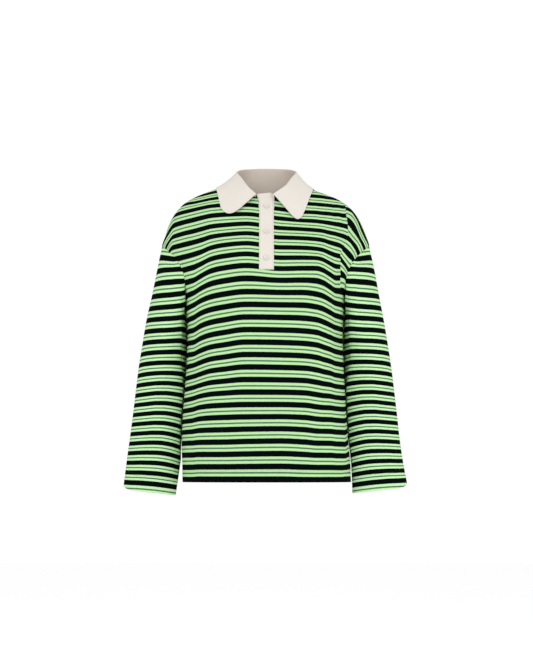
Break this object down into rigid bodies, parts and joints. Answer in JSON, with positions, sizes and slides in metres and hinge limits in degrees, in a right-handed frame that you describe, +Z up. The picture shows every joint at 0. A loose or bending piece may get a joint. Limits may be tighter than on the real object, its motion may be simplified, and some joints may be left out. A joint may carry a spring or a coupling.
{
  "type": "polo shirt",
  "caption": "Long-sleeved striped knit polo shirt, worn and hollow, with a wide round-cornered collar and a buttoned placket.",
  "frame": {"origin": "between the shoulders, just below the neck points, where the wearer's shoulders carry the shirt", "axes": "+Z up, +X to the viewer's right, the shirt's front faces -Y"},
  "size_m": [0.6113, 0.2498, 0.7432],
  "materials": {
    "striped_knit": "soft knit with cross stripes",
    "ivory_cloth": "matt fine weave",
    "button_shell": "soft gloss"
  },
  "bodies": {
    "root": {"back": "striped_knit", "front": "striped_knit", "sleeve_left": "striped_knit", "sleeve_right": "striped_knit", "collar": "ivory_cloth", "placket_upper": "ivory_cloth", "placket_under": "ivory_cloth", "button_1": "button_shell", "button_2": "button_shell", "button_3": "button_shell"}
  },
  "joints": []
}
